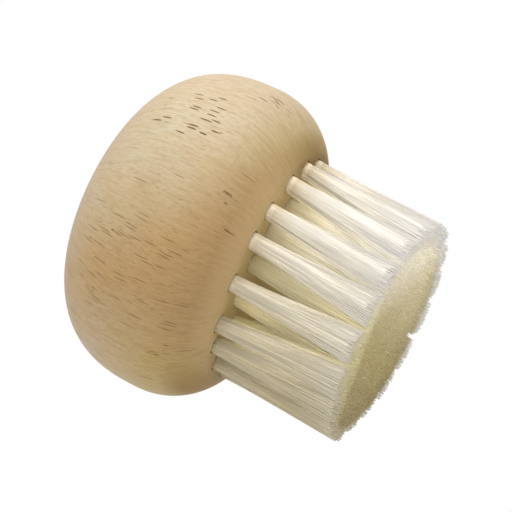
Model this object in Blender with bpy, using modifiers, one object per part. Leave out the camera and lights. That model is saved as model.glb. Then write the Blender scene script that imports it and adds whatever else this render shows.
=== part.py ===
"""Mushroom brush: a turned wooden handle with a domed grip, drilled in rows, and a bristle tuft in each hole.

It stands on its trimmed bristle tips. The origin is at the centre of the tips, and +Z runs up through the
crown of the handle. Lengths are in metres.
"""

import math
import random

import bmesh
import bpy
from mathutils import Matrix, Vector

MM = 0.001

# Turned handle
HANDLE_DIAMETER = 57.0 * MM  # across the widest ring
HANDLE_HEIGHT = 33.0 * MM  # from the flat face to the crown
SHOULDER_HEIGHT = 11.6 * MM  # from the flat face to the widest ring
RIM_OVERHANG = 7.0 * MM  # how far the widest ring stands out past the corner of the flat face
RIM_ROUND = 1.0 * MM  # the radius sanded on that corner
CROWN_POWER = 2.6  # the crown is a superellipse: 2 gives an ellipse, more gives a squarer dome

# Drilled holes
HOLE_DEPTH = 8.0 * MM  # at the full diameter
RIM_LAND = 0.6 * MM  # the flat wood left outside the outer row
DRILL_POINT_DEGREES = 118.0
ROWS = 3  # rings round the centre hole
HOLES_PER_ROW_STEP = 6  # each ring has this many more holes than the one inside it
ROW_NAMES = ("inner", "middle", "outer")
ROW_START_DEGREES = (-92.0, -62.0, -164.0)

# How far each hole of the outer row wanders from its even place, in degrees
OUTER_DRIFT_DEGREES = (
    *(0.0, -1.5, -6.0, -1.0, 3.0, 1.0, 3.0, 2.5, 0.5),
    *(-1.5, 1.0, 0.0, -2.0, 1.5, 0.5, -1.0, 2.0, -0.5),
)

# Tufts
BRISTLE_LENGTH = 24.5 * MM  # from the flat face to the trimmed tips
TUFT_DIAMETER = 2.6 * MM  # where the tuft is packed in its hole
ROOT_RECESS = 0.4 * MM  # how far inside the mouth the packed root ends
TIP_GAP = 0.5 * MM  # between neighbouring tufts at their tips
TRIM_DEPTH = 0.5 * MM  # what the trimming cuts off the shortest strand
TRIM_UNEVEN = 0.4 * MM  # how much more it cuts off the longest
STRAND_SIDES = 3
STRAND_RINGS = ((1, 0.0), (4, 0.45), (7, 0.81))  # count, and place as a share of the tuft's radius
STRAND_RADIUS_SHARE = 0.19  # of the tuft's radius: a strand is a lock of filaments that widens as its tuft does
STRAND_SINK_SHARE = 0.5  # how deep a strand starts in the root, of the root's radius
TIP_ROW_SHARE = 0.92  # the rows draw in towards the axis: their radius at the tips, of that at the face
TIP_DRIFT_SHARE = 0.35  # the part of a hole's wander that is left at its tuft's tips

# Anchors, the flat wire in each tuft's fold
ANCHOR_BITE = 0.3 * MM  # how far each end goes into the wood
ANCHOR_THICKNESS = 0.35 * MM
ANCHOR_HEIGHT = 1.7 * MM
FOLD_HEIGHT = 0.8 * MM  # of the folded filaments beyond the anchor
FOLD_TAPER_SHARE = 0.45  # how far the fold narrows, of the root's radius

CLEARANCE = 0.3 * MM  # between a tuft or its anchor and the wood
CUTTER_OVERRUN = 1.0 * MM
MERGE_DISTANCE = 0.01 * MM

# Number of flats that stand for a round, and the corner above which an edge stays sharp
SHARP_DEGREES = 35.0
HANDLE_STEPS = 48
CROWN_STEPS = 11
FLANK_STEPS = 6
RIM_STEPS = 2
HOLE_STEPS = 10

ROOT_RADIUS = TUFT_DIAMETER / 2
HOLE_RADIUS = ROOT_RADIUS + CLEARANCE
FACE_Z = BRISTLE_LENGTH
ROOT_MOUTH_Z = FACE_Z + ROOT_RECESS
ROOT_TOP_Z = FACE_Z + HOLE_DEPTH - CLEARANCE
ANCHOR_TOP_Z = ROOT_TOP_Z - FOLD_HEIGHT
ANCHOR_WIDTH = 2 * (HOLE_RADIUS + ANCHOR_BITE)


def clear_scene():
    for obj in list(bpy.data.objects):
        bpy.data.objects.remove(obj, do_unlink=True)


def new_collection(name):
    collection = bpy.data.collections.new(name)
    bpy.context.scene.collection.children.link(collection)
    return collection


def new_material(name, color, roughness, metallic):
    material = bpy.data.materials.new(name)
    material.use_nodes = True
    shader = material.node_tree.nodes["Principled BSDF"]
    shader.inputs["Base Color"].default_value = color
    shader.inputs["Roughness"].default_value = roughness
    shader.inputs["Metallic"].default_value = metallic
    material.diffuse_color = color
    return material


def add_object(name, mesh, collection):
    obj = bpy.data.objects.new(name, mesh)
    collection.objects.link(obj)
    return obj


def evaluated_mesh(obj):
    """The mesh that an object's modifiers make. The object itself is removed."""
    graph = bpy.context.evaluated_depsgraph_get()
    mesh = bpy.data.meshes.new_from_object(obj.evaluated_get(graph))
    mesh.name = obj.name
    bpy.data.objects.remove(obj, do_unlink=True)
    return mesh


def shade_round(mesh):
    mesh.shade_smooth()
    mesh.set_sharp_from_angle(angle=math.radians(SHARP_DEGREES))


def turned_mesh(name, outline, steps, collection):
    """A closed solid turned about Z from an outline of (radius, height) that runs down its outer side.

    A flat end is left out of the outline and filled with one face."""
    edges = [(i, i + 1) for i in range(len(outline) - 1)]
    mesh = bpy.data.meshes.new(name)
    mesh.from_pydata([(radius, 0.0, height) for radius, height in outline], edges, [])
    obj = add_object(name, mesh, collection)
    turn = obj.modifiers.new("Turn", "SCREW")
    turn.axis = "Z"
    turn.angle = math.tau
    turn.steps = steps
    turn.render_steps = steps
    turn.use_merge_vertices = True
    turn.merge_threshold = MERGE_DISTANCE
    solid = evaluated_mesh(obj)
    bm = bmesh.new()
    bm.from_mesh(solid)
    open_edges = [edge for edge in bm.edges if edge.is_boundary]
    if open_edges:
        bmesh.ops.holes_fill(bm, edges=open_edges, sides=0)
    bmesh.ops.recalc_face_normals(bm, faces=bm.faces[:])
    bm.to_mesh(solid)
    bm.free()
    return solid


def handle_outline():
    """Crown, flank and rim of the handle, from the top of the crown to the corner of the flat face."""
    widest_radius = HANDLE_DIAMETER / 2
    widest_z = FACE_Z + SHOULDER_HEIGHT
    crown_height = HANDLE_HEIGHT - SHOULDER_HEIGHT
    outline = []
    for step in range(CROWN_STEPS):
        angle = math.pi / 2 * (1 - step / CROWN_STEPS)
        across = math.cos(angle) ** (2 / CROWN_POWER)
        up = math.sin(angle) ** (2 / CROWN_POWER)
        outline.append((widest_radius * across, widest_z + crown_height * up))
    flank_radius, flank_center, rim_center = flank_circles()
    rim_angle = math.atan2(SHOULDER_HEIGHT - RIM_ROUND, rim_center - flank_center)
    for step in range(FLANK_STEPS):
        angle = rim_angle * step / FLANK_STEPS
        outline.append((flank_center + flank_radius * math.cos(angle), widest_z - flank_radius * math.sin(angle)))
    for step in range(RIM_STEPS + 1):
        angle = rim_angle + (math.pi / 2 - rim_angle) * step / RIM_STEPS
        outline.append((rim_center + RIM_ROUND * math.cos(angle), FACE_Z + RIM_ROUND * (1 - math.sin(angle))))
    return outline


def flank_circles():
    """The flank is an arc from the widest ring to the flat face's corner, and a smaller arc rounds that corner.

    Gives the flank's radius, how far its centre is from the axis, and how far the centre of the rounding is."""
    flank_radius = (RIM_OVERHANG**2 + SHOULDER_HEIGHT**2) / (2 * RIM_OVERHANG)
    flank_center = HANDLE_DIAMETER / 2 - flank_radius
    rim_reach = math.sqrt((flank_radius - RIM_ROUND) ** 2 - (SHOULDER_HEIGHT - RIM_ROUND) ** 2)
    return flank_radius, flank_center, flank_center + rim_reach


def row_radius(row):
    """The radius of a row of holes at the flat face. Row 0 is the centre hole."""
    flat_radius = flank_circles()[2]
    return (flat_radius - RIM_LAND - HOLE_RADIUS) * row / ROWS


def tuft_places():
    """A name, the hole's place and the tips' place for each tuft, both as a radius and an angle."""
    places = [("tuft_centre", (0.0, 0.0), (0.0, 0.0))]
    for row in range(1, ROWS + 1):
        holes = HOLES_PER_ROW_STEP * row
        for hole in range(holes):
            drift = OUTER_DRIFT_DEGREES[hole] if row == ROWS else 0.0
            even = ROW_START_DEGREES[row - 1] + 360.0 * hole / holes
            root = (row_radius(row), math.radians(even + drift))
            tips = (row_radius(row) * TIP_ROW_SHARE, math.radians(even + drift * TIP_DRIFT_SHARE))
            places.append((f"tuft_{ROW_NAMES[row - 1]}_{hole + 1:02d}", root, tips))
    return places


def polar(place):
    radius, angle = place
    return Vector((radius * math.cos(angle), radius * math.sin(angle), 0.0))


def add_strand(bm, root, tip, outward, overrun):
    """One straight strand from its root through its tip, which is carried on below by the overrun.

    Root and tip are each a centre and a radius. One of the strand's flats faces outward."""
    (root, root_radius), (tip, tip_radius) = root, tip
    carry = overrun / (root.z - tip.z)
    end = tip + (tip - root) * carry
    end_radius = tip_radius + (tip_radius - root_radius) * carry
    height = root.z - end.z
    middle = (root + end) / 2
    along = (root - end) / height
    placing = Matrix.Translation(middle) @ Matrix(
        ((1.0, 0.0, along.x, 0.0), (0.0, 1.0, along.y, 0.0), (0.0, 0.0, 1.0, 0.0), (0.0, 0.0, 0.0, 1.0))
    )
    bmesh.ops.create_cone(
        bm,
        cap_ends=True,
        segments=STRAND_SIDES,
        radius1=end_radius,
        radius2=root_radius,
        depth=height,
        matrix=placing @ Matrix.Rotation(outward + math.pi / 2, 4, "Z"),
    )


def strands_mesh(name, lean, chance):
    """A tuft's strands, spreading from the root to the tips and trimmed flat at the tips' plane."""
    tuft_tip_radius = (row_radius(1) * TIP_ROW_SHARE - TIP_GAP) / 2
    sunk_root = Vector((0.0, 0.0, ROOT_MOUTH_Z + ROOT_RADIUS * STRAND_SINK_SHARE))
    twist = chance.uniform(0.0, math.tau)
    bm = bmesh.new()
    for count, share in STRAND_RINGS:
        for strand in range(count):
            angle = twist + math.tau * strand / count
            root = (sunk_root + polar((ROOT_RADIUS * share, angle)), ROOT_RADIUS * STRAND_RADIUS_SHARE)
            tip = (lean + polar((tuft_tip_radius * share, angle)), tuft_tip_radius * STRAND_RADIUS_SHARE)
            add_strand(bm, root, tip, angle, TRIM_DEPTH + chance.uniform(0.0, TRIM_UNEVEN))
    bmesh.ops.bisect_plane(
        bm,
        geom=bm.verts[:] + bm.edges[:] + bm.faces[:],
        plane_co=(0.0, 0.0, 0.0),
        plane_no=(0.0, 0.0, 1.0),
        clear_inner=True,
    )
    bmesh.ops.holes_fill(bm, edges=[edge for edge in bm.edges if edge.is_boundary], sides=0)
    bmesh.ops.recalc_face_normals(bm, faces=bm.faces[:])
    mesh = bpy.data.meshes.new(name)
    bm.to_mesh(mesh)
    bm.free()
    return mesh


def root_mesh(collection):
    """The packed root of a tuft: the filaments in the hole, narrowing where they fold over the anchor."""
    outline = [
        (ROOT_RADIUS * (1 - FOLD_TAPER_SHARE), ROOT_TOP_Z),
        (ROOT_RADIUS, ROOT_TOP_Z - FOLD_HEIGHT / 2),
        (ROOT_RADIUS, ROOT_MOUTH_Z),
    ]
    return turned_mesh("root", outline, HOLE_STEPS, collection)


def block_mesh(name, thickness, width, bottom_z, top_z):
    """An upright block across a hole: the anchor, or the slot that its ends cut."""
    bm = bmesh.new()
    sizes = Matrix.Diagonal((thickness, width, top_z - bottom_z, 1.0))
    middle = Matrix.Translation((0.0, 0.0, (bottom_z + top_z) / 2))
    bmesh.ops.create_cube(bm, size=1.0, matrix=middle @ sizes)
    mesh = bpy.data.meshes.new(name)
    bm.to_mesh(mesh)
    bm.free()
    return mesh


def add_boolean(obj, operation, collection):
    boolean = obj.modifiers.new("Drill" if operation == "DIFFERENCE" else "Join", "BOOLEAN")
    boolean.operation = operation
    boolean.solver = "EXACT"
    boolean.operand_type = "COLLECTION"
    boolean.collection = collection


def place(obj, root, parent):
    """Stands a hole's or a tuft's object at its hole, turned to face away from the axis."""
    obj.location = polar(root)
    obj.rotation_euler = (0.0, 0.0, root[1])
    obj.parent = parent


def hide(obj):
    obj.hide_render = True
    obj.display_type = "WIRE"


def make_handle(parts, drills, brush, wood):
    turned = turned_mesh("handle", handle_outline(), HANDLE_STEPS, parts)
    turned.materials.append(wood)
    shade_round(turned)
    handle = add_object("handle", turned, parts)
    handle.parent = brush

    point_height = HOLE_RADIUS / math.tan(math.radians(DRILL_POINT_DEGREES / 2))
    drill_outline = [
        (0.0, FACE_Z + HOLE_DEPTH + point_height),
        (HOLE_RADIUS, FACE_Z + HOLE_DEPTH),
        (HOLE_RADIUS, FACE_Z - CUTTER_OVERRUN),
    ]
    drill = turned_mesh("drill", drill_outline, HOLE_STEPS, drills)
    slot = block_mesh(
        "slot",
        ANCHOR_THICKNESS + 2 * CLEARANCE,
        ANCHOR_WIDTH + 2 * CLEARANCE,
        ANCHOR_TOP_Z - ANCHOR_HEIGHT - CLEARANCE,
        ANCHOR_TOP_Z + CLEARANCE,
    )
    for name, root, _ in tuft_places():
        for kind, mesh in (("drill", drill), ("slot", slot)):
            cutter = add_object(f"{kind}_{name}", mesh, drills)
            place(cutter, root, brush)
            hide(cutter)
    add_boolean(handle, "DIFFERENCE", drills)


def make_tufts(parts, tools, brush, nylon):
    """One tuft for each hole. Its strands, packed root and anchor are joined into one solid."""
    root_tool = add_object("tuft_root", root_mesh(tools), tools)
    anchor_mesh = block_mesh("anchor", ANCHOR_THICKNESS, ANCHOR_WIDTH, ANCHOR_TOP_Z - ANCHOR_HEIGHT, ANCHOR_TOP_Z)
    anchor_tool = add_object("tuft_anchor", anchor_mesh, tools)
    hide(root_tool)
    hide(anchor_tool)
    chance = random.Random(7)
    for name, root, tips in tuft_places():
        lean = Matrix.Rotation(-root[1], 3, "Z") @ (polar(tips) - polar(root))
        strands = add_object(name, strands_mesh(name, lean, chance), parts)
        add_boolean(strands, "UNION", tools)
        joined = evaluated_mesh(strands)
        joined.materials.clear()
        joined.materials.append(nylon)
        tuft = add_object(name, joined, parts)
        place(tuft, root, brush)


def main():
    clear_scene()
    parts = new_collection("mushroom_brush")
    drills = new_collection("drill_cutters")
    tools = new_collection("tuft_tools")
    brush = add_object("brush", None, parts)
    wood = new_material("rubberwood", (0.62, 0.43, 0.23, 1.0), 0.5, 0.0)
    nylon = new_material("natural_nylon", (0.83, 0.79, 0.66, 1.0), 0.4, 0.0)
    make_handle(parts, drills, brush, wood)
    make_tufts(parts, tools, brush, nylon)


main()
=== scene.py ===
"""Mushroom brush: a turned wooden palm grip with nylon tufts wired into its flat underside.

The brush stands on its trimmed tips, and the camera is rolled and set low to see it as the photograph does.
"""

import math
import random

import bpy
from mathutils import Matrix, Vector


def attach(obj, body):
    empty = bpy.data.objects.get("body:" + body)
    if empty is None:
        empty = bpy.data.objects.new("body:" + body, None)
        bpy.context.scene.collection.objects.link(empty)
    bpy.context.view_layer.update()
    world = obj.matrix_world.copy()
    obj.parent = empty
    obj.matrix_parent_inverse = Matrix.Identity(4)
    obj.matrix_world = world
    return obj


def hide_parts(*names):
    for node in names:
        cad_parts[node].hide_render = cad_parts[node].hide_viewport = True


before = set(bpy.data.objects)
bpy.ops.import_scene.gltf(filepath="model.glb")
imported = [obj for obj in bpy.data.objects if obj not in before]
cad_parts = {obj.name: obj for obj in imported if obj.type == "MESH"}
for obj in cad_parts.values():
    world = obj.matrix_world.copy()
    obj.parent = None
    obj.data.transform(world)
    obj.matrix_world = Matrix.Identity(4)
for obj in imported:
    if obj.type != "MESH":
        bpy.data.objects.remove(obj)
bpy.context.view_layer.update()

# Handle. One block of rubberwood, turned between centres with its grain along the brush's axis, then sanded.
# The domed crown fits the palm, and the flank tucks in to a flat face with a softened corner, where the
# tufts' blind holes are drilled. A thin coat of clear satin lacquer leaves the pores open.

MM = 0.001

handle_radius = 28.5 * MM
face_height = 24.5 * MM  # the flat face, above the bristle tips
widest_height = face_height + 11.6 * MM
crown_height = 21.4 * MM  # from the widest ring to the top
crown_power = 2.6  # of the dome's superellipse
flank_overhang = 7.0 * MM
corner_round = 1.0 * MM
face_edge = 0.15 * MM  # a narrow ring of the flat face, which keeps its shading flat up to the corner
crown_steps = 41
flank_steps = 24
corner_steps = 6
turning_steps = 180
merge_distance = 0.001 * MM  # points nearer than this are one
smooth_below = math.radians(30)  # an edge that turns less is shaded smooth

hole_radius = 1.6 * MM
hole_depth = 8.0 * MM
hole_ease = 0.12 * MM  # the mouth's edge, rubbed down by the sanding
hole_steps = 28
drill_point = 118.0  # degrees, its whole angle
drill_overlap = 0.002 * MM  # the eased mouth's cut starts this far outside the wood
drill_reach = 1.0 * MM  # outside the wood
rim_land = 0.6 * MM  # from the outer row's holes to the rounded corner

flank_radius = (flank_overhang**2 + (widest_height - face_height) ** 2) / (2 * flank_overhang)
flank_center = handle_radius - flank_radius
corner_drop = widest_height - face_height - corner_round
corner_center = flank_center + math.sqrt((flank_radius - corner_round) ** 2 - corner_drop**2)
corner_angle = math.atan2(corner_drop, corner_center - flank_center)


def edit(piece):
    """Opens a piece in edit mode with nothing selected."""
    bpy.ops.object.select_all(action="DESELECT")
    piece.select_set(True)
    bpy.context.view_layer.objects.active = piece
    bpy.ops.object.mode_set(mode="EDIT")
    bpy.ops.mesh.select_mode(type="VERT")
    bpy.ops.mesh.select_all(action="DESELECT")


def apply_modifiers(piece):
    """Applies a piece's modifiers in their order."""
    bpy.ops.object.select_all(action="DESELECT")
    piece.select_set(True)
    bpy.context.view_layer.objects.active = piece
    for modifier in list(piece.modifiers):
        bpy.ops.object.modifier_apply(modifier=modifier.name)


def join_pieces(pieces):
    """Joins the pieces into the first one and brings its object to the origin."""
    bpy.ops.object.select_all(action="DESELECT")
    for piece in pieces:
        piece.select_set(True)
    bpy.context.view_layer.objects.active = pieces[0]
    bpy.ops.object.join()
    bpy.ops.object.transform_apply()
    return pieces[0]


def draw_outline(name, points):
    """A line of points, drawn by extruding one point from place to place."""
    bpy.ops.object.select_all(action="DESELECT")
    bpy.ops.mesh.primitive_plane_add(size=MM)
    piece = bpy.context.object
    piece.name = name
    bpy.ops.object.mode_set(mode="EDIT")
    bpy.ops.mesh.merge(type="CENTER")
    place = Vector((0.0, 0.0, 0.0))
    for index, (across, up) in enumerate(points):
        point = Vector((across, 0.0, up))
        if index == 0:
            bpy.ops.transform.translate(value=point - place)
        else:
            bpy.ops.mesh.extrude_vertices_move(TRANSFORM_OT_translate={"value": point - place})
        place = point
    bpy.ops.object.mode_set(mode="OBJECT")
    return piece


def turn_on_lathe(piece, steps):
    """Spins an outline about the axis and closes its open end with one face."""
    edit(piece)
    bpy.ops.mesh.select_all(action="SELECT")
    bpy.ops.mesh.spin(steps=steps, angle=math.tau, center=(0, 0, 0), axis=(0, 0, 1), use_auto_merge=True)
    bpy.ops.mesh.select_all(action="SELECT")
    bpy.ops.mesh.remove_doubles(threshold=merge_distance)
    bpy.ops.mesh.select_all(action="DESELECT")
    bpy.ops.mesh.select_non_manifold(extend=False)
    bpy.ops.mesh.edge_face_add()
    bpy.ops.mesh.select_all(action="SELECT")
    bpy.ops.mesh.normals_make_consistent(inside=False)
    bpy.ops.object.mode_set(mode="OBJECT")


outline = []
for step in range(crown_steps):
    angle = math.pi / 2 * (1 - step / crown_steps)
    across = handle_radius * math.cos(angle) ** (2 / crown_power) if step else 0.0
    outline.append((across, widest_height + crown_height * math.sin(angle) ** (2 / crown_power)))
for step in range(flank_steps):
    angle = corner_angle * step / flank_steps
    across = flank_center + flank_radius * math.cos(angle)
    outline.append((across, widest_height - flank_radius * math.sin(angle)))
for step in range(corner_steps + 1):
    angle = corner_angle + (math.pi / 2 - corner_angle) * step / corner_steps
    drop = corner_round * (1 - math.sin(angle))
    outline.append((corner_center + corner_round * math.cos(angle), face_height + drop))
outline.append((corner_center - face_edge, face_height))

handle = draw_outline("handle_turned", outline)
turn_on_lathe(handle, turning_steps)

# The holes' places: one in the middle and three rows round it, drilled by eye, so that the outer row wanders.
row_starts = {"inner": -92, "middle": -62, "outer": -164}  # degrees, the first hole of each row
added_holes = 6  # each row has six holes more than the one inside it
outer_wander = (0, -1.5, -6, -1, 3, 1, 3, 2.5, 0.5, -1.5, 1, 0, -2, 1.5, 0.5, -1, 2, -0.5)  # degrees
outer_row_radius = corner_center - rim_land - hole_radius
holes = {"centre": (0.0, 0.0, 0.0)}  # a tuft's name: its row's radius, its angle, and its wander
for row, (row_name, start) in enumerate(row_starts.items(), start=1):
    row_radius = outer_row_radius * row / len(row_starts)
    for hole in range(added_holes * row):
        wander = outer_wander[hole] if row_name == "outer" else 0
        even = start + 360 * hole / (added_holes * row)
        holes[f"{row_name}_{hole + 1:02d}"] = (row_radius, math.radians(even), math.radians(wander))

point_height = hole_radius / math.tan(math.radians(drill_point / 2))
drill = draw_outline(
    "drill",
    (
        (0.0, face_height + hole_depth + point_height),
        (hole_radius, face_height + hole_depth),
        (hole_radius, face_height + hole_ease),
        (hole_radius + hole_ease, face_height - drill_overlap),
        (hole_radius + hole_ease, face_height - drill_reach),
    ),
)
turn_on_lathe(drill, hole_steps)
drills = []
for radius, even, wander in holes.values():
    cutter = drill.copy()
    cutter.data = drill.data.copy()
    bpy.context.collection.objects.link(cutter)
    cutter.location = (radius * math.cos(even + wander), radius * math.sin(even + wander), 0.0)
    drills.append(cutter)
bpy.data.objects.remove(drill)
drills = join_pieces(drills)
drilling = handle.modifiers.new("Drilling", "BOOLEAN")
drilling.object = drills
drilling.solver = "EXACT"
apply_modifiers(handle)
bpy.data.objects.remove(drills)
bpy.ops.object.shade_smooth_by_angle(angle=smooth_below)


def linear(hex_color):
    """An sRGB hex colour as the linear RGBA that a node takes."""
    channels = [int(hex_color[i : i + 2], 16) / 255 for i in (1, 3, 5)]
    return (*(c / 12.92 if c <= 0.04045 else ((c + 0.055) / 1.055) ** 2.4 for c in channels), 1.0)


def add_node(tree, kind, settings=(), links=()):
    """A shader node with its settings, and links from (node, output) pairs to its inputs."""
    node = tree.nodes.new("ShaderNode" + kind)
    for name, value in dict(settings).items():
        if isinstance(name, str) and hasattr(node, name):
            setattr(node, name, value)
        else:
            node.inputs[name].default_value = value
    for name, (source, output) in dict(links).items():
        tree.links.new(source.outputs[output], node.inputs[name])
    return node


def new_material(name, **shader_values):
    """A material with the constant values of its surface set on the shader itself."""
    material = bpy.data.materials.new(name)
    material.use_nodes = True
    shader = material.node_tree.nodes["Principled BSDF"]
    for socket, value in shader_values.items():
        shader.inputs[socket.replace("_", " ")].default_value = value
    return material, material.node_tree, shader


# Rubberwood under satin lacquer: a quiet wood with fine streaks and short open pores, and a soft shine. The
# block was cut across the border of the sapwood, so it is pale straw at the crown and warm tan towards the
# flat face. On the +X side the pale straw is partly sapwood and partly a painted sheen of the soft box.
# Patches 8 mm wide make the border uneven, and both sides are painted a little lighter, for a painted sheen.
wood, tree, shader = new_material("rubberwood_satin_lacquer", IOR=1.5, Specular_IOR_Level=0.2)
place = add_node(tree, "TexCoord")
spot = add_node(tree, "SeparateXYZ", {}, {"Vector": (place, "Object")})
facing = add_node(tree, "SeparateXYZ", {}, {"Vector": (place, "Normal")})
patches_space = add_node(
    tree, "Mapping", {"Scale": (1 / (8 * MM), 1 / (8 * MM), 1 / (12 * MM))}, {"Vector": (place, "Object")}
)
patches = add_node(
    tree, "TexNoise", {"Scale": 1.0, "Detail": 3.0, "Roughness": 0.55}, {"Vector": (patches_space, "Vector")}
)
clouds = add_node(
    tree,
    "MapRange",
    {"From Min": 0.25, "From Max": 0.75, "To Min": -1.5, "To Max": -1.1},
    {"Value": (patches, "Fac")},
)
border = add_node(
    tree, "VectorMath", {"operation": "DOT_PRODUCT", 1: (0.034 / MM, 0, 0.041 / MM)}, {0: (place, "Object")}
)
# Pale straw: sapwood, and on the +X side also a painted sheen of the soft box.
sapwood_and_sheen = add_node(
    tree, "Math", {"operation": "ADD", "use_clamp": True}, {0: (border, "Value"), 1: (clouds, "Result")}
)
two_tone = add_node(
    tree, "Mix", {"data_type": "RGBA", 6: linear("#B69565"), 7: linear("#B7AC91")}, {"Factor": (sapwood_and_sheen, 0)}
)
# A painted sheen: both sides, far from X = 0, are painted a little lighter.
off_middle = add_node(tree, "Math", {"operation": "ABSOLUTE"}, {0: (spot, "X")})
side_sheen_amount = add_node(
    tree, "MapRange", {"From Min": 12 * MM, "From Max": 29 * MM}, {"Value": (off_middle, 0)}
)
side_sheen = add_node(
    tree,
    "Mix",
    {"data_type": "RGBA", 7: linear("#C4B193")},
    {"Factor": (side_sheen_amount, "Result"), 6: (two_tone, 2)},
)

# Warmer and more golden on the lower half of both sides, and darker on the crown. Low down on both sides,
# next to the flat face, a darker brown is painted shade.
from_face = add_node(
    tree, "VectorMath", {"operation": "DOT_PRODUCT", 1: (0.07, 0, 1)}, {0: (place, "Object")}
)
low = add_node(
    tree, "MapRange", {"From Min": 29.3 * MM, "From Max": 26 * MM}, {"Value": (from_face, "Value")}
)
past_middle = add_node(tree, "Math", {"operation": "ADD", 1: 2 * MM}, {0: (spot, "X")})
off_side_plane = add_node(tree, "Math", {"operation": "ABSOLUTE"}, {0: (past_middle, 0)})
near_side = add_node(tree, "Math", {"operation": "MINIMUM", 1: 0.0}, {0: (spot, "Y")})
toward_sides = add_node(
    tree, "Math", {"operation": "MULTIPLY_ADD", 1: 0.4}, {0: (near_side, 0), 2: (off_side_plane, 0)}
)
low_shade_sides = add_node(
    tree, "MapRange", {"From Min": 13 * MM, "From Max": 21 * MM}, {"Value": (toward_sides, 0)}
)
low_side_shade = add_node(tree, "Math", {"operation": "MULTIPLY"}, {0: (low, "Result"), 1: (low_shade_sides, "Result")})
to_crown = add_node(tree, "VectorMath", {"operation": "DOT_PRODUCT", 1: (0.2, 0, 1)}, {0: (place, "Object")})
lower_half = add_node(
    tree, "MapRange", {"From Min": 38 * MM, "From Max": 27 * MM}, {"Value": (to_crown, "Value")}
)
both_sides = add_node(tree, "MapRange", {"From Min": 10 * MM, "From Max": 20 * MM}, {"Value": (off_side_plane, 0)})
warmth = add_node(
    tree, "Math", {"operation": "MULTIPLY"}, {0: (lower_half, "Result"), 1: (both_sides, "Result")}
)
warm = add_node(
    tree,
    "Mix",
    {"data_type": "RGBA", "blend_type": "MULTIPLY", 7: linear("#FFF8CE")},
    {"Factor": (warmth, 0), 6: (side_sheen, 2)},
)
# Painted shade: a darker brown low down on both sides, next to the flat face.
shaded_low_tone = add_node(
    tree, "Mix", {"data_type": "RGBA", 7: linear("#977427")}, {"Factor": (low_side_shade, 0), 6: (warm, 2)}
)
crown = add_node(
    tree, "MapRange", {"From Min": 46 * MM, "From Max": 56 * MM, "To Max": 0.7}, {"Value": (spot, "Z")}
)
ground = add_node(
    tree, "Mix", {"data_type": "RGBA", 7: linear("#AF9774")}, {"Factor": (crown, "Result"), 6: (shaded_low_tone, 2)}
)

# The grain runs up the block, so on the side it is laid out by the angle round the axis and the height, and
# sways a little. That layout's seam is at the back. At the crown the cut goes across the grain, and there it
# is laid out level.
turned = add_node(tree, "Mapping", {"Rotation": (0, 0, math.radians(-157.5))}, {"Vector": (place, "Object")})
turned_spot = add_node(tree, "SeparateXYZ", {}, {"Vector": (turned, "Vector")})
around = add_node(tree, "Math", {"operation": "ARCTAN2"}, {0: (turned_spot, "X"), 1: (turned_spot, "Y")})
along = add_node(tree, "Math", {"operation": "MULTIPLY", 1: handle_radius}, {0: (around, 0)})
bends_space = add_node(
    tree, "Mapping", {"Scale": (1 / (9 * MM), 1 / (9 * MM), 1 / (11 * MM))}, {"Vector": (place, "Object")}
)
bends = add_node(tree, "TexNoise", {"Scale": 1.0, "Detail": 1.0}, {"Vector": (bends_space, "Vector")})
swayed = add_node(tree, "Math", {"operation": "MULTIPLY_ADD", 1: 2 * MM}, {0: (bends, "Fac"), 2: (along, 0)})
on_side = add_node(tree, "CombineXYZ", {}, {"X": (swayed, 0), "Y": (spot, "Z")})
across_grain = add_node(tree, "MapRange", {"From Min": 0.8, "From Max": 0.9}, {"Value": (facing, "Z")})

streaks_space = add_node(
    tree, "Mapping", {"Scale": (1 / (0.65 * MM), 1 / (4.5 * MM), 1)}, {"Vector": (on_side, 0)}
)
streaks = add_node(
    tree,
    "TexNoise",
    {"noise_dimensions": "2D", "Scale": 1.0, "Detail": 3.0, "Roughness": 0.6},
    {"Vector": (streaks_space, "Vector")},
)
fibres_space = add_node(
    tree, "Mapping", {"Scale": (1 / (0.22 * MM), 1 / (1.1 * MM), 1)}, {"Vector": (on_side, 0)}
)
fibres = add_node(
    tree,
    "TexNoise",
    {"noise_dimensions": "2D", "Scale": 1.0, "Detail": 2.0, "Roughness": 0.6},
    {"Vector": (fibres_space, "Vector")},
)
streak_amount = add_node(
    tree, "MapRange", {"From Min": 0.4, "From Max": 0.7, "To Max": 0.34}, {"Value": (streaks, "Fac")}
)
streaked = add_node(
    tree,
    "Mix",
    {"data_type": "RGBA", 7: linear("#9C7B4C")},
    {"Factor": (streak_amount, "Result"), 6: (ground, 2)},
)
fibre_amount = add_node(
    tree, "MapRange", {"From Min": 0.4, "From Max": 0.75, "To Max": 0.28}, {"Value": (fibres, "Fac")}
)
side_color = add_node(
    tree,
    "Mix",
    {"data_type": "RGBA", 7: linear("#8E6E44")},
    {"Factor": (fibre_amount, "Result"), 6: (streaked, 2)},
)

# Pores: the vessels, cut open at a flat angle into dashes: dark ones 0.3 mm wide, fine ones 3 mm long, and
# short flecks. Each is drawn a little wider than a real vessel, to show at this distance. They lie in loose
# clusters, and crowd in two patches.
clusters_space = add_node(
    tree, "Mapping", {"Scale": (1 / (8 * MM), 1 / (8 * MM), 1 / (9 * MM))}, {"Vector": (place, "Object")}
)
clusters = add_node(tree, "TexNoise", {"Scale": 1.0, "Detail": 1.0}, {"Vector": (clusters_space, "Vector")})
pore_color = side_color
pore_depth = None
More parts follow.
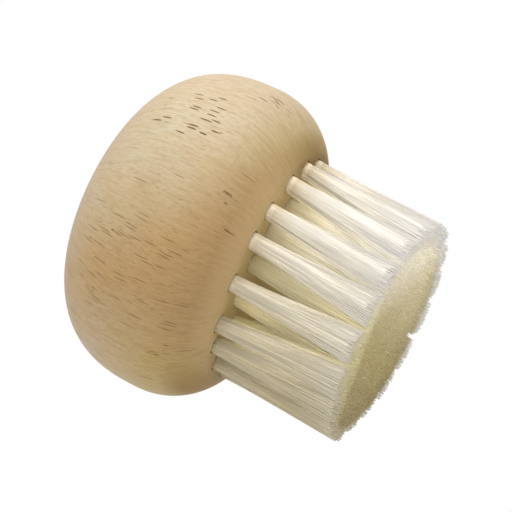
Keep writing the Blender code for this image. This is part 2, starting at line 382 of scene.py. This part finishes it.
# Of each kind: width and length, the share left out where few and where many, the depth of tone, and a patch
# with its radius. Lengths are in mm.
pore_kinds = (
    (0.34, 2.0, 1.0, 0.55, 0.9, (18, -20, 42), 10),
    (0.24, 3.0, 0.98, 0.6, 0.5, (-10, -26, 39), 14),
    (0.16, 0.9, 0.93, 0.75, 0.3, (-10, -26, 39), 14),
)
for width, tall, few, many, dark, patch, patch_radius in pore_kinds:
    away = add_node(
        tree, "VectorMath", {"operation": "DISTANCE", 1: Vector(patch) * MM}, {0: (place, "Object")}
    )
    in_patch = add_node(
        tree,
        "MapRange",
        {"From Min": patch_radius * MM, "From Max": patch_radius * MM / 2, "To Max": 0.3},
        {"Value": (away, "Value")},
    )
    crowd = add_node(
        tree, "Math", {"operation": "MULTIPLY_ADD", 1: 0.6}, {0: (clusters, "Fac"), 2: (in_patch, "Result")}
    )
    cells_space = add_node(
        tree, "Mapping", {"Scale": (0.5 / (width * MM), 0.5 / (tall * MM), 1)}, {"Vector": (on_side, 0)}
    )
    cells = add_node(
        tree, "TexVoronoi", {"voronoi_dimensions": "2D", "Scale": 1.0}, {"Vector": (cells_space, "Vector")}
    )
    near = add_node(
        tree,
        "MapRange",
        {"interpolation_type": "SMOOTHSTEP", "From Min": 0.28, "From Max": 0.18},
        {"Value": (cells, "Distance")},
    )
    missing = add_node(
        tree,
        "MapRange",
        {"From Min": 0.36, "From Max": 0.6, "To Min": few, "To Max": many},
        {"Value": (crowd, 0)},
    )
    lot = add_node(tree, "SeparateXYZ", {}, {"Vector": (cells, "Color")})
    kept = add_node(tree, "Math", {"operation": "GREATER_THAN"}, {0: (lot, "X"), 1: (missing, "Result")})
    pore = add_node(tree, "Math", {"operation": "MULTIPLY"}, {0: (near, "Result"), 1: (kept, 0)})
    depth = add_node(tree, "Math", {"operation": "MULTIPLY", 1: dark}, {0: (pore, 0)})
    pore_color = add_node(
        tree, "Mix", {"data_type": "RGBA", 7: linear("#664B2B")}, {"Factor": (depth, 0), 6: (pore_color, 2)}
    )
    if pore_depth is None:
        pore_depth = depth
    else:
        pore_depth = add_node(tree, "Math", {"operation": "MAXIMUM"}, {0: (pore_depth, 0), 1: (depth, 0)})

# End grain: the vessels as dots, and the fibres as a fine mottle between the rays.
dots_space = add_node(
    tree, "Mapping", {"Scale": (1 / (0.9 * MM), 1 / (1.3 * MM), 1)}, {"Vector": (place, "Object")}
)
dots = add_node(
    tree, "TexVoronoi", {"voronoi_dimensions": "2D", "Scale": 1.0}, {"Vector": (dots_space, "Vector")}
)
dot = add_node(
    tree,
    "MapRange",
    {"interpolation_type": "SMOOTHSTEP", "From Min": 0.2, "From Max": 0.1, "To Max": 0.45},
    {"Value": (dots, "Distance")},
)
mottle_space = add_node(
    tree, "Mapping", {"Scale": (1 / (0.35 * MM), 1 / (1.6 * MM), 1)}, {"Vector": (place, "Object")}
)
mottle = add_node(
    tree,
    "TexNoise",
    {"noise_dimensions": "2D", "Scale": 1.0, "Detail": 2.0},
    {"Vector": (mottle_space, "Vector")},
)
mottle_amount = add_node(
    tree, "MapRange", {"From Min": 0.35, "From Max": 0.7, "To Max": 0.35}, {"Value": (mottle, "Fac")}
)
mottled = add_node(
    tree,
    "Mix",
    {"data_type": "RGBA", 7: linear("#957448")},
    {"Factor": (mottle_amount, "Result"), 6: (ground, 2)},
)
dotted = add_node(
    tree, "Mix", {"data_type": "RGBA", 7: linear("#664B2B")}, {"Factor": (dot, "Result"), 6: (mottled, 2)}
)
grown = add_node(
    tree,
    "Mix",
    {"data_type": "RGBA"},
    {"Factor": (across_grain, "Result"), 6: (pore_color, 2), 7: (dotted, 2)},
)

# A painted highlight along the corner, and painted light on the flat face between the tufts, for the light
# that the nylon passes on to it. Both fade out towards the sides.
corner = add_node(
    tree, "MapRange", {"From Min": -0.65, "From Max": -0.88, "To Max": 0.5}, {"Value": (facing, "Z")}
)
painted_light_reach = add_node(tree, "MapRange", {"From Min": 20 * MM, "From Max": 14 * MM}, {"Value": (off_side_plane, 0)})
corner_highlight = add_node(tree, "Math", {"operation": "MULTIPLY"}, {0: (corner, "Result"), 1: (painted_light_reach, "Result")})
corner_highlight_color = add_node(
    tree, "Mix", {"data_type": "RGBA", 7: linear("#E0C08E")}, {"Factor": (corner_highlight, 0), 6: (grown, 2)}
)
# Painted light on the flat face between the tufts.
face_light = add_node(
    tree, "MapRange", {"From Min": -0.97, "From Max": -0.995, "To Max": 0.85}, {"Value": (facing, "Z")}
)
painted_face_light = add_node(tree, "Math", {"operation": "MULTIPLY"}, {0: (face_light, "Result"), 1: (painted_light_reach, "Result")})
wood_color = add_node(
    tree, "Mix", {"data_type": "RGBA", 7: linear("#E3C78D")}, {"Factor": (painted_face_light, 0), 6: (corner_highlight_color, 2)}
)
tree.links.new(wood_color.outputs[2], shader.inputs["Base Color"])

# The lacquer's shine is uneven over the fibres and gone in the pores, which are open.
gloss = add_node(tree, "MapRange", {"To Min": 0.42, "To Max": 0.56}, {"Value": (fibres, "Fac")})
dulled_and_shaded = add_node(
    tree, "Math", {"operation": "MULTIPLY_ADD", 1: 0.25}, {0: (pore_depth, 0), 2: (gloss, "Result")}
)
tree.links.new(dulled_and_shaded.outputs[0], shader.inputs["Roughness"])
relief_fibres = add_node(tree, "Math", {"operation": "MULTIPLY", 1: 0.2}, {0: (fibres, "Fac")})
relief = add_node(tree, "Math", {"operation": "SUBTRACT"}, {0: (relief_fibres, 0), 1: (pore_depth, 0)})
bump = add_node(tree, "Bump", {"Strength": 0.5, "Distance": 0.05 * MM}, {"Height": (relief, 0)})
tree.links.new(bump.outputs[0], shader.inputs["Normal"])

handle.data.materials.clear()
handle.data.materials.append(wood)
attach(handle, "root")
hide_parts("handle")

# Anchors. A short length of flat steel wire in each hole, cut off by the tufting machine. It holds the fold
# of a tuft at the bottom of the hole, and its two ends bite into the wood on either side.

anchor_bite = 0.3 * MM  # of each end, into the wood
anchor_width = 2 * (hole_radius + anchor_bite)
anchor_thickness = 0.35 * MM
anchor_height = 1.7 * MM
anchor_rounding = 0.1 * MM
fold_height = 0.8 * MM  # of the filaments over the anchor
root_clearance = 0.3 * MM  # from the fold to the bottom of the hole
root_top = face_height + hole_depth - root_clearance
anchor_top = root_top - fold_height

bpy.ops.object.select_all(action="DESELECT")
bpy.ops.mesh.primitive_cube_add(size=1)
anchor = bpy.context.object
anchor.scale = (anchor_thickness, anchor_width, anchor_height)
anchor.location = (0, 0, anchor_top - anchor_height / 2)
bpy.ops.object.transform_apply()
rounding = anchor.modifiers.new("Rolled edges", "BEVEL")
rounding.width = anchor_rounding
rounding.segments = 2
apply_modifiers(anchor)
bpy.ops.object.shade_smooth_by_angle(angle=smooth_below)

# Drawn and rolled steel wire: bright, with fine lines along its length from the rollers.
wire, tree, shader = new_material("rolled_steel_wire", Metallic=1.0, Base_Color=linear("#B9B7B2"))
place = add_node(tree, "TexCoord")
lines_space = add_node(
    tree, "Mapping", {"Scale": (1 / (0.5 * MM), 1 / (2 * MM), 1 / (0.06 * MM))}, {"Vector": (place, "Object")}
)
lines = add_node(tree, "TexNoise", {"Scale": 1.0, "Detail": 2.0}, {"Vector": (lines_space, "Vector")})
gloss = add_node(tree, "MapRange", {"To Min": 0.25, "To Max": 0.45}, {"Value": (lines, "Fac")})
tree.links.new(gloss.outputs[0], shader.inputs["Roughness"])
anchor.data.materials.append(wire)

for name, (radius, even, wander) in holes.items():
    piece = anchor.copy()
    piece.data = anchor.data.copy()
    piece.name = "anchor_" + name
    bpy.context.collection.objects.link(piece)
    angle = even + wander
    piece.data.transform(Matrix.Rotation(angle, 4, "Z"))
    piece.data.transform(Matrix.Translation((radius * math.cos(angle), radius * math.sin(angle), 0)))
    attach(piece, "root")
    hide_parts("tuft_" + name)
bpy.data.objects.remove(anchor)

# Tufts. Stiff filaments of natural white nylon, 0.19 mm across, folded in half round the anchor and driven
# into the hole. Packed tight there, they spread to twice that width at the tips, which are sheared together.

root_radius = 1.5 * MM
fold_radius = root_radius * 0.55  # over the anchor
fold_rounding = 0.4 * MM
root_mouth = face_height + 0.4 * MM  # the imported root's lower end, just inside the hole
root_steps = 20
filament_radius = 0.095 * MM
filament_sides = 5
filament_smooth_below = math.radians(75)  # more than the 72 degrees between two of its sides
bundle_smooth_below = math.radians(40)
filament_count = 220
filament_start = root_mouth + 0.6 * MM
filament_length = root_mouth  # before each copy is stretched to its own length
filament_bows = (0.0, 0.05 * MM, 0.1 * MM)  # sideways at half length, from a tuft's middle to its outside
bend_shares = (0.2, 0.4, 0.6, 0.8)  # of the length, where a filament bends
bend_reach = 0.01 * MM  # points this near to a bend's height are on it

tip_row_share = 0.92  # the rows draw in towards the axis
tip_wander_share = 0.35  # what is left at the tips of a hole's wander
tip_press = 0.05 * MM  # how far neighbours press into each other
tip_radius = outer_row_radius / len(row_starts) * tip_row_share / 2 + tip_press
tip_squareness = 4  # the tufts press each other nearly square at the tips
tip_scatter = 0.07  # mm
tip_shortest = 0.7  # mm, the most that the shears leave a filament short
tip_evenness = 9  # per mm: a filament is left short by a ninth of a millimetre on average
outer_splay = (0, 0, 0, 0, 0, 0, 0, 0, 0.3, 0.5, 0.8, 1, 1.2, 1, 0.3, -1, -1, 0)  # mm, the outer row's tips
field_lean = Vector((-1.3 * MM, 0.0, 0.0))  # the whole field leans a little to one side

# The shears ran a little out of square, so the tips get shorter from the +X side to the -X side.
shear_middle = 0.42 * MM
shear_slope_x = 0.02
shear_slope_y = 0.008

golden_angle = math.radians(137.508)  # from one filament to the next, which spreads them evenly over a tuft


def select_points(piece, chosen):
    """In edit mode, selects the points whose place passes the test."""
    bpy.ops.object.mode_set(mode="OBJECT")
    for point in piece.data.vertices:
        point.select = chosen(point.co)
    bpy.ops.object.mode_set(mode="EDIT")


filaments = []
for bow in filament_bows:
    bpy.ops.object.select_all(action="DESELECT")
    bpy.ops.mesh.primitive_cylinder_add(
        vertices=filament_sides,
        radius=filament_radius,
        depth=filament_length,
        location=(0, 0, filament_length / 2),
        end_fill_type="NGON",
    )
    filament = bpy.context.object
    bpy.ops.object.transform_apply()
    for share in bend_shares:
        height = filament_length * share
        edit(filament)
        bpy.ops.mesh.select_all(action="SELECT")
        bpy.ops.mesh.bisect(plane_co=(0, 0, height), plane_no=(0, 0, 1))
        bpy.ops.mesh.select_all(action="DESELECT")
        select_points(filament, lambda co: abs(co.z - height) < bend_reach)
        bpy.ops.transform.translate(value=(4 * bow * share * (1 - share), 0, 0))
        bpy.ops.object.mode_set(mode="OBJECT")
    bpy.ops.object.shade_smooth_by_angle(angle=filament_smooth_below)
    filaments.append(filament)

packed_root = draw_outline(
    "packed_root",
    (
        (0.0, root_top),
        (fold_radius, root_top),
        (root_radius, root_top - fold_rounding),
        (root_radius, root_mouth),
    ),
)
turn_on_lathe(packed_root, root_steps)
bpy.ops.object.shade_smooth_by_angle(angle=bundle_smooth_below)

# The middle of a tuft is filaments packed on filaments, so it is one tapered body under the loose outer ones.
core_share = 0.9  # of the tuft's radius
core_sides = 20
core_end = 1.2 * MM  # above the tips
core_rounding = 0.7 * MM

bpy.ops.object.select_all(action="DESELECT")
bpy.ops.mesh.primitive_cone_add(
    vertices=core_sides,
    radius1=core_share * tip_radius,
    radius2=core_share * root_radius,
    depth=filament_start - core_end,
    location=(0, 0, (filament_start + core_end) / 2),
)
packed_core = bpy.context.object
bpy.ops.object.transform_apply()
edit(packed_core)
select_points(packed_core, lambda co: co.z < core_end + core_rounding)
bpy.ops.mesh.bevel(offset=core_rounding, segments=3, affect="EDGES")
bpy.ops.object.mode_set(mode="OBJECT")
bpy.ops.object.shade_smooth_by_angle(angle=bundle_smooth_below)

# Natural nylon: milky white, with a soft shine, and light passes a little way into it. It is whitest near the
# tips. Towards the roots it is painted creamier and darker, for shade and for the wood's colour reflected on
# it, and darker still at the holes' mouths, for painted shade. Streaks 0.4 mm wide run along it.
nylon, tree, shader = new_material(
    "natural_white_nylon",
    IOR=1.53,
    Roughness=0.38,
    Subsurface_Weight=1.0,
    Subsurface_Radius=(1.0, 0.95, 0.8),
    Subsurface_Scale=0.3 * MM,
)
shader.subsurface_method = "BURLEY"
place = add_node(tree, "TexCoord")
tones_space = add_node(
    tree, "Mapping", {"Scale": (1 / (0.4 * MM), 1 / (0.4 * MM), 1 / (40 * MM))}, {"Vector": (place, "Object")}
)
tones = add_node(tree, "TexNoise", {"Scale": 1.0, "Detail": 2.0}, {"Vector": (tones_space, "Vector")})
amount = add_node(tree, "MapRange", {"From Min": 0.35, "From Max": 0.65}, {"Value": (tones, "Fac")})
outside = add_node(
    tree,
    "Mix",
    {"data_type": "RGBA", 6: linear("#C6C3BF"), 7: linear("#C2BFBC")},
    {"Factor": (amount, "Result")},
)
spot = add_node(tree, "SeparateXYZ", {}, {"Vector": (place, "Object")})
# The place that a point has once the field's lean is taken out, and how far it is from the field's middle.
upright = add_node(
    tree,
    "Math",
    {"operation": "MULTIPLY_ADD", 1: field_lean.x / root_mouth},
    {0: (spot, "Z"), 2: (spot, "X")},
)
level = add_node(tree, "CombineXYZ", {}, {"X": (upright, 0), "Y": (spot, "Y")})
from_middle = add_node(tree, "VectorMath", {"operation": "DISTANCE", 1: field_lean}, {0: (level, 0)})
# Painted shade, growing towards the roots.
root_shade_amount = add_node(tree, "MapRange", {"From Min": 2 * MM, "From Max": 24 * MM}, {"Value": (spot, "Z")})
root_shaded = add_node(
    tree,
    "Mix",
    {"data_type": "RGBA", "blend_type": "MULTIPLY", 7: linear("#E6E1D5")},
    {"Factor": (root_shade_amount, "Result"), 6: (outside, 2)},
)
# The wood's colour, painted on the roots as its reflection.
by_wood = add_node(tree, "VectorMath", {"operation": "DOT_PRODUCT", 1: (0.15, 0, 1)}, {0: (place, "Object")})
wood_reflection_amount = add_node(
    tree, "MapRange", {"From Min": 20.5 * MM, "From Max": 27 * MM}, {"Value": (by_wood, "Value")}
)
wood_reflected = add_node(
    tree,
    "Mix",
    {"data_type": "RGBA", "blend_type": "MULTIPLY", 7: linear("#DED4BF")},
    {"Factor": (wood_reflection_amount, "Result"), 6: (root_shaded, 2)},
)
# Painted shade at the holes' mouths.
mouth_shade = add_node(
    tree, "MapRange", {"From Min": 23.3 * MM, "From Max": 24.1 * MM, "To Max": 0.6}, {"Value": (spot, "Z")}
)
mouth_shaded = add_node(
    tree, "Mix", {"data_type": "RGBA", 7: linear("#E1D4BF")}, {"Factor": (mouth_shade, "Result"), 6: (wood_reflected, 2)}
)

# Deep between the tufts it is painted creamier still, the olive tint of the light that reaches them through
# the nylon, most of all on the -X side, away from the soft box.
deep_amount = add_node(
    tree, "MapRange", {"From Min": 19 * MM, "From Max": 16 * MM}, {"Value": (from_middle, "Value")}
)
deep_side = add_node(tree, "MapRange", {"From Min": -6 * MM, "From Max": 4 * MM}, {"Value": (spot, "X")})
# Painted olive tint of light that has passed through the nylon.
deep_shade_tone = add_node(
    tree,
    "Mix",
    {"data_type": "RGBA", 6: linear("#D1CA9E"), 7: linear("#DAD6C8")},
    {"Factor": (deep_side, "Result")},
)
deep_shaded = add_node(
    tree,
    "Mix",
    {"data_type": "RGBA"},
    {"Factor": (deep_amount, "Result"), 6: (mouth_shaded, 2), 7: (deep_shade_tone, 2)},
)

# The cut ends, and the last 2 mm of the filaments that stand among others, but for those on the near rim:
# where the tip's painted shade goes.
facing = add_node(tree, "SeparateXYZ", {}, {"Vector": (place, "Normal")})
cut_face = add_node(tree, "MapRange", {"From Min": -0.5, "From Max": -0.9}, {"Value": (facing, "Z")})
near_end = add_node(tree, "MapRange", {"From Min": 1.8 * MM, "From Max": 1.0 * MM}, {"Value": (spot, "Z")})
among_others = add_node(
    tree, "MapRange", {"From Min": 18.7 * MM, "From Max": 17.7 * MM}, {"Value": (from_middle, "Value")}
)
tip_side = add_node(
    tree, "Math", {"operation": "MULTIPLY"}, {0: (near_end, "Result"), 1: (among_others, "Result")}
)
tip_area = add_node(tree, "Math", {"operation": "MAXIMUM"}, {0: (cut_face, "Result"), 1: (tip_side, 0)})
near_rim = add_node(tree, "VectorMath", {"operation": "DOT_PRODUCT", 1: (0.5, 1, 0)}, {0: (place, "Object")})
past_near_rim = add_node(
    tree, "MapRange", {"From Min": -15.5 * MM, "From Max": -12 * MM}, {"Value": (near_rim, "Value")}
)
cut = add_node(tree, "Math", {"operation": "MULTIPLY"}, {0: (tip_area, 0), 1: (past_near_rim, "Result")})

# Painted olive shade on the -X side, away from the soft box, and on the cut ends there. It is less at the
# back, and less over the last 9 mm to the tips.
shade_side = add_node(tree, "MapRange", {"From Min": 12 * MM, "From Max": -21 * MM}, {"Value": (spot, "X")})
far_side = add_node(
    tree,
    "MapRange",
    {"From Min": 3 * MM, "From Max": 15 * MM, "To Min": 1.0, "To Max": 0.45},
    {"Value": (spot, "Y")},
)
shade_there = add_node(tree, "Math", {"operation": "MAXIMUM"}, {0: (far_side, "Result"), 1: (cut, 0)})
shade_amount = add_node(tree, "Math", {"operation": "MULTIPLY"}, {0: (shade_side, "Result"), 1: (shade_there, 0)})
tip_lightening = add_node(
    tree,
    "MapRange",
    {"From Min": 0.0, "From Max": 9 * MM, "To Min": 0.78, "To Max": 1.0},
    {"Value": (spot, "Z")},
)
tip_lightened = add_node(tree, "Math", {"operation": "MAXIMUM"}, {0: (tip_lightening, "Result"), 1: (cut, 0)})
shaded_amount = add_node(tree, "Math", {"operation": "MULTIPLY"}, {0: (shade_amount, 0), 1: (tip_lightened, 0)})
side_shaded = add_node(
    tree, "Mix", {"data_type": "RGBA", 7: linear("#9E9375")}, {"Factor": (shaded_amount, 0), 6: (deep_shaded, 2)}
)

# Close under the wood, the grooves between the tufts are painted an olive tone, lighter than the painted
# shade of the -X side, for the light that reaches them through the nylon.
under_wood = add_node(tree, "MapRange", {"From Min": 15 * MM, "From Max": 21 * MM}, {"Value": (spot, "Z")})
sheltered = add_node(
    tree, "Math", {"operation": "MULTIPLY"}, {0: (under_wood, "Result"), 1: (deep_amount, "Result")}
)
sheltered_side = add_node(
    tree, "MapRange", {"From Min": -10 * MM, "From Max": 6 * MM}, {"Value": (spot, "X")}
)
groove_light_tone = add_node(
    tree,
    "Mix",
    {"data_type": "RGBA", 6: linear("#D4CBA6"), 7: linear("#C4BCA2")},
    {"Factor": (sheltered_side, "Result")},
)
olive_groove_light = add_node(
    tree, "Mix", {"data_type": "RGBA"}, {"Factor": (sheltered, 0), 6: (side_shaded, 2), 7: (groove_light_tone, 2)}
)

# Painted shade on the upper half of one tuft of the middle row, where it shows deep in a groove.
from_shaded_tuft = add_node(
    tree, "VectorMath", {"operation": "DISTANCE", 1: Vector((-1.7, -12.5, 0.0)) * MM}, {0: (level, 0)}
)
shaded_tuft = add_node(
    tree, "MapRange", {"From Min": 3.2 * MM, "From Max": 2.2 * MM}, {"Value": (from_shaded_tuft, "Value")}
)
shaded_length = add_node(tree, "MapRange", {"From Min": 7 * MM, "From Max": 17 * MM}, {"Value": (spot, "Z")})
tuft_shade = add_node(
    tree, "Math", {"operation": "MULTIPLY"}, {0: (shaded_tuft, "Result"), 1: (shaded_length, "Result")}
)
dulled_and_shaded = add_node(
    tree,
    "Mix",
    {"data_type": "RGBA", "blend_type": "MULTIPLY", 7: linear("#E5E2D7")},
    {"Factor": (tuft_shade, 0), 6: (olive_groove_light, 2)},
)

# The tip face is painted darker than the tufts' sides, for its shade: lightest at the +X rim, towards the
# soft box, olive towards the opposite rim, and darker again at the back rim.
toward_rim = add_node(
    tree, "VectorMath", {"operation": "DOT_PRODUCT", 1: (1, -0.5, 0)}, {0: (place, "Object")}
)
lit_rim = add_node(
    tree, "MapRange", {"From Min": 4 * MM, "From Max": 14 * MM}, {"Value": (toward_rim, "Value")}
)
ends = add_node(
    tree,
    "Mix",
    {"data_type": "RGBA", 6: linear("#E7DFC4"), 7: linear("#FAF8F6")},
    {"Factor": (lit_rim, "Result")},
)
# Painted shade at the back rim of the tip face.
far_rim = add_node(
    tree, "MapRange", {"From Min": 8 * MM, "From Max": 15 * MM, "To Max": 0.5}, {"Value": (spot, "Y")}
)
ends_there = add_node(
    tree, "Mix", {"data_type": "RGBA", 7: linear("#C4BCA2")}, {"Factor": (far_rim, "Result"), 6: (ends, 2)}
)
tip_shaded = add_node(
    tree,
    "Mix",
    {"data_type": "RGBA", "blend_type": "MULTIPLY"},
    {"Factor": (cut, 0), 6: (dulled_and_shaded, 2), 7: (ends_there, 2)},
)

# On the cut ends, painted shade marks the gaps 0.2 mm apart between the filaments.
strands = add_node(
    tree, "TexVoronoi", {"voronoi_dimensions": "2D", "Scale": 1 / (0.22 * MM)}, {"Vector": (place, "Object")}
)
between = add_node(tree, "MapRange", {"From Min": 0.35, "From Max": 0.7}, {"Value": (strands, "Distance")})
seen_on_end = add_node(
    tree, "MapRange", {"From Min": -0.6, "From Max": -0.95, "To Max": 0.3}, {"Value": (facing, "Z")}
)
gap_shade = add_node(tree, "Math", {"operation": "MULTIPLY"}, {0: (between, "Result"), 1: (seen_on_end, "Result")})
color = add_node(tree, "Mix", {"data_type": "RGBA", 7: linear("#6F6545")}, {"Factor": (gap_shade, 0), 6: (tip_shaded, 2)})
tree.links.new(color.outputs[2], shader.inputs["Base Color"])

for part in (*filaments, packed_root, packed_core):
    part.data.materials.clear()
    part.data.materials.append(nylon)

chance = random.Random(11)
for name, (radius, even, wander) in holes.items():
    root = Vector((radius * math.cos(even + wander), radius * math.sin(even + wander), 0))
    tip_angle = even + wander * tip_wander_share
    outward = Vector((math.cos(tip_angle), math.sin(tip_angle), 0))
    sideways = Vector((-outward.y, outward.x, 0))
    tip = outward * radius * tip_row_share + field_lean
    if name.startswith("outer"):
        tip += outward * outer_splay[int(name[-2:]) - 1] * MM
    plug = packed_root.copy()
    plug.data = packed_root.data.copy()
    plug.location = root
    core = packed_core.copy()
    core.data = packed_core.data.copy()
    slope = (root - tip) / filament_start  # the core leans from its root to its tips
    core.data.transform(Matrix(((1, 0, slope.x, tip.x), (0, 1, slope.y, tip.y), (0, 0, 1, 0), (0, 0, 0, 1))))
    pieces = [plug, core]
    twist = chance.uniform(0, math.tau)
    for number in range(filament_count):
        share = math.sqrt((number + 0.5) / filament_count)
        around = twist + number * golden_angle
        powers = abs(math.cos(around)) ** tip_squareness + abs(math.sin(around)) ** tip_squareness
        reach = powers ** (-1 / tip_squareness)
        spoke = (outward * math.cos(around) + sideways * math.sin(around)) * share
        start = root + spoke * (root_radius - filament_radius) + Vector((0, 0, filament_start))
        end = tip + spoke * reach * tip_radius
        across = (chance.gauss(0, tip_scatter), chance.gauss(0, tip_scatter))
        short = min(tip_shortest, chance.expovariate(tip_evenness))
        end += Vector((*across, short)) * MM
        end.z += max(0.0, shear_middle - shear_slope_x * end.x - shear_slope_y * end.y)
        piece = filaments[int(len(filaments) * share)].copy()
        run = start - end
        piece.rotation_mode = "QUATERNION"
        # It bows away from its tuft's middle, but in the outer row towards it.
        bow_way = math.atan2(spoke.y, spoke.x) + (math.pi if name.startswith("outer") else 0)
        turn = Matrix.Rotation(bow_way, 3, "Z").to_quaternion()
        piece.rotation_quaternion = Vector((0, 0, 1)).rotation_difference(run) @ turn
        piece.scale = (1, 1, run.length / filament_length)
        piece.location = end
        pieces.append(piece)
    for piece in pieces:
        bpy.context.collection.objects.link(piece)
    tuft = join_pieces(pieces)
    tuft.name = "bristles_" + name
    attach(tuft, "root")
    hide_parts("tuft_" + name)
    tuft.visible_shadow = False  # translucent: it passes the light on to the tufts behind it
for part in (*filaments, packed_root, packed_core):
    bpy.data.objects.remove(part)

# Studio. A pale table under the upright brush, a white surround, a large soft box where the photograph's
# light comes from, and the camera in the photograph's place, which is below the level of the table top.

table_size = 3.0
table_seen_to = 0.1  # metres from the brush, where the table starts to fade
table_clear_from = 0.45

bpy.ops.object.select_all(action="DESELECT")
bpy.ops.mesh.primitive_plane_add(size=table_size, location=(0, 0, 0))
floor = bpy.context.object
floor.name = "floor"
floor.visible_diffuse = False  # no light comes up from it, as none does in the photograph

# Matt paint, with a soft shadow on it. It is clear from below and to the lamp's light, and fades out around.
paint, tree, shader = new_material("pale_table", Base_Color=linear("#F2F1EE"), Roughness=0.9)
output = tree.nodes["Material Output"]
sides = add_node(tree, "NewGeometry")
path = add_node(tree, "LightPath")
clear = add_node(tree, "BsdfTransparent")
passed = add_node(
    tree, "Math", {"operation": "MAXIMUM"}, {0: (sides, "Backfacing"), 1: (path, "Is Shadow Ray")}
)
place = add_node(tree, "TexCoord")
away = add_node(tree, "VectorMath", {"operation": "LENGTH"}, {0: (place, "Object")})
edge = add_node(
    tree,
    "MapRange",
    {"interpolation_type": "SMOOTHSTEP", "From Min": table_seen_to, "From Max": table_clear_from},
    {"Value": (away, "Value")},
)
unseen = add_node(tree, "Math", {"operation": "MAXIMUM"}, {0: (passed, 0), 1: (edge, "Result")})
surface = add_node(tree, "MixShader", {}, {0: (unseen, 0), 1: (shader, 0), 2: (clear, 0)})
tree.links.new(surface.outputs[0], output.inputs["Surface"])
floor.data.materials.append(paint)

# The camera looks along +Y from below, a little upwards, rolled so that the brush lies down to the right.
camera_rise = 14.35  # degrees
camera_roll = -64.36  # degrees
camera_distance = 670.4  # mm
pixel = 0.1723  # mm, what one pixel of the photograph spans at the brush
shift_left = 13.4  # pixels, from the middle of the flat face to the middle of the picture
shift_up = 11.8

camera_data = bpy.data.cameras.new("camera")
camera_data.lens = 273.6  # mm, a long lens: the photograph shows little perspective
camera_data.sensor_width = 36
camera_data.clip_start = 0.05
camera = bpy.data.objects.new("camera", camera_data)
bpy.context.collection.objects.link(camera)
tilt = Matrix.Rotation(math.radians(90 + camera_rise), 4, "X")
turn = tilt @ Matrix.Rotation(math.radians(camera_roll), 4, "Z")
right, up, back = (turn.col[i].to_3d() for i in range(3))
target = Vector((0, 0, face_height)) - right * shift_left * pixel * MM + up * shift_up * pixel * MM
camera.matrix_world = Matrix.Translation(target + back * camera_distance * MM) @ turn
bpy.context.scene.camera = camera

# The surround: brighter from the photograph's left and front than from its right. The camera sees it white.
surround_level = 0.745
surround_slope = up * 0.1 - right * 0.3 + back * 0.26

world = bpy.data.worlds.new("white_surround")
bpy.context.scene.world = world
world.use_nodes = True
tree = world.node_tree
ambient = tree.nodes["Background"]
place = add_node(tree, "TexCoord")
gradient = add_node(
    tree, "VectorMath", {"operation": "DOT_PRODUCT", 1: surround_slope}, {0: (place, "Generated")}
)
strength = add_node(tree, "Math", {"operation": "ADD", 1: surround_level}, {0: (gradient, "Value")})
tree.links.new(strength.outputs[0], ambient.inputs["Strength"])
ambient.inputs["Color"].default_value = (1, 1, 1, 1)
white = add_node(tree, "Background", {"Color": (1, 1, 1, 1), "Strength": 1.0})
path = add_node(tree, "LightPath")
looked_at = add_node(
    tree, "Math", {"operation": "MAXIMUM"}, {0: (path, "Is Camera Ray"), 1: (path, "Is Glossy Ray")}
)
seen = add_node(tree, "Math", {"operation": "MAXIMUM"}, {0: (looked_at, 0), 1: (path, "Is Transmission Ray")})
both = add_node(tree, "MixShader", {}, {0: (seen, 0), 1: (ambient, 0), 2: (white, 0)})
tree.links.new(both.outputs[0], tree.nodes["World Output"].inputs["Surface"])

# The soft box is above the brush in the picture, and a little in front of it.
soft_box_distance = 0.5
soft_box_middle = Vector((0, 0, 30 * MM))  # what it points at
soft_box_side = (up * 0.95 + back * 0.3).normalized()

light = bpy.data.lights.new("overhead_soft_box", "AREA")
light.shape = "SQUARE"
light.size = 0.4
light.energy = 2.05
lamp = bpy.data.objects.new("overhead_soft_box", light)
bpy.context.collection.objects.link(lamp)
lamp.location = soft_box_middle + soft_box_side * soft_box_distance
lamp.rotation_euler = soft_box_side.to_track_quat("Z", "Y").to_euler()

bpy.context.scene.view_settings.view_transform = "Standard"
bpy.context.scene.cycles.diffuse_bounces = 12  # white filaments pass the light on many times
